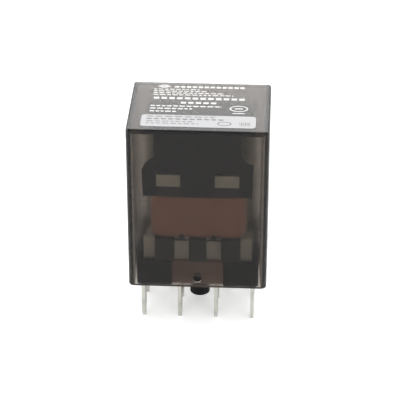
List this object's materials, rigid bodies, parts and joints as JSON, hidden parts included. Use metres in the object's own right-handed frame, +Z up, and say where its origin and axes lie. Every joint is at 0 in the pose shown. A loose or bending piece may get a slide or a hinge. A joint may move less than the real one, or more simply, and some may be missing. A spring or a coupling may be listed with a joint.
{
  "type": "plug-in relay",
  "caption": "Plug-in changeover relay with a smoked dust cover, hinged armature, leaf spring contacts, flat blade terminals and a round locating post.",
  "frame": {"origin": "middle of the base's underside, on the locating post's axis, level with the cover's lower edge", "axes": "+Z up through the cover's top, -Y towards the coil side with the snap boss, X along the four poles"},
  "size_m": [0.0278, 0.0214, 0.0447],
  "materials": {
    "smoked_cover": "smoked clear polycarbonate, slightly hazy",
    "label_white": "satin white self-adhesive label, blank",
    "black_moulding": "black glass-filled thermoset",
    "brown_sheet": "brown insulating sheet",
    "plated_iron": "zinc plated soft iron",
    "plated_steel": "nickel plated steel",
    "copper": "bare copper",
    "black_nylon": "black nylon",
    "copper_wire": "enamelled copper wire",
    "red_brown_tape": "red brown polyester tape",
    "tinned_brass": "tin plated brass, satin",
    "black_card": "black phenolic",
    "spring_steel": "zinc plated spring wire",
    "silver_contact": "silver alloy button",
    "phosphor_bronze": "phosphor bronze strip"
  },
  "bodies": {
    "relay_frame": {"dust_cover": "smoked_cover", "rating_label": "label_white", "base": "black_moulding", "barrier_plate": "brown_sheet", "yoke": "plated_iron", "frame_rivets": "plated_steel", "core": "plated_iron", "shading_ring": "copper", "bobbin": "black_nylon", "winding": "copper_wire", "coil_tape": "red_brown_tape", "coil_terminal_left": "tinned_brass", "coil_terminal_right": "tinned_brass", "coil_lead_left": "copper_wire", "coil_lead_right": "copper_wire", "return_spring": "spring_steel", "no_terminal_1": "tinned_brass", "nc_terminal_1": "tinned_brass", "common_terminal_1": "tinned_brass", "no_contact_1": "silver_contact", "nc_contact_1": "silver_contact", "no_terminal_2": "tinned_brass", "nc_terminal_2": "tinned_brass", "common_terminal_2": "tinned_brass", "no_contact_2": "silver_contact", "nc_contact_2": "silver_contact", "no_terminal_3": "tinned_brass", "nc_terminal_3": "tinned_brass", "common_terminal_3": "tinned_brass", "no_contact_3": "silver_contact", "nc_contact_3": "silver_contact", "no_terminal_4": "tinned_brass", "nc_terminal_4": "tinned_brass", "common_terminal_4": "tinned_brass", "no_contact_4": "silver_contact", "nc_contact_4": "silver_contact"},
    "armature": {"armature": "plated_iron", "actuator_card": "black_card", "card_rivets": "plated_steel"},
    "moving_pole_1": {"moving_spring_1": "phosphor_bronze", "moving_contact_1": "silver_contact"},
    "moving_pole_2": {"moving_spring_2": "phosphor_bronze", "moving_contact_2": "silver_contact"},
    "moving_pole_3": {"moving_spring_3": "phosphor_bronze", "moving_contact_3": "silver_contact"},
    "moving_pole_4": {"moving_spring_4": "phosphor_bronze", "moving_contact_4": "silver_contact"}
  },
  "joints": [
    {"name": "armature_hinge", "type": "hinge", "parent": "relay_frame", "child": "armature", "pos_m": [0, 0.003, 0.0226], "axis": [1, 0, 0], "range_deg": [0, 3.5], "stiffness_Nm_per_rad": 0.012, "springref_deg": -5.73, "deforming": ["return_spring"]},
    {"name": "spring_flex_1", "type": "hinge", "parent": "relay_frame", "child": "moving_pole_1", "pos_m": [0, 0.0069, 0.0082], "axis": [1, 0, 0], "range_deg": [0, 1.35]},
    {"name": "spring_flex_2", "type": "hinge", "parent": "relay_frame", "child": "moving_pole_2", "pos_m": [0, 0.0069, 0.0082], "axis": [1, 0, 0], "range_deg": [0, 1.35]},
    {"name": "spring_flex_3", "type": "hinge", "parent": "relay_frame", "child": "moving_pole_3", "pos_m": [0, 0.0069, 0.0082], "axis": [1, 0, 0], "range_deg": [0, 1.35]},
    {"name": "spring_flex_4", "type": "hinge", "parent": "relay_frame", "child": "moving_pole_4", "pos_m": [0, 0.0069, 0.0082], "axis": [1, 0, 0], "range_deg": [0, 1.35]}
  ],
  "couplings": [
    {"joint": "spring_flex_1", "follows": "armature_hinge", "ratio": 0.3712},
    {"joint": "spring_flex_2", "follows": "armature_hinge", "ratio": 0.3712},
    {"joint": "spring_flex_3", "follows": "armature_hinge", "ratio": 0.3712},
    {"joint": "spring_flex_4", "follows": "armature_hinge", "ratio": 0.3712}
  ]
}
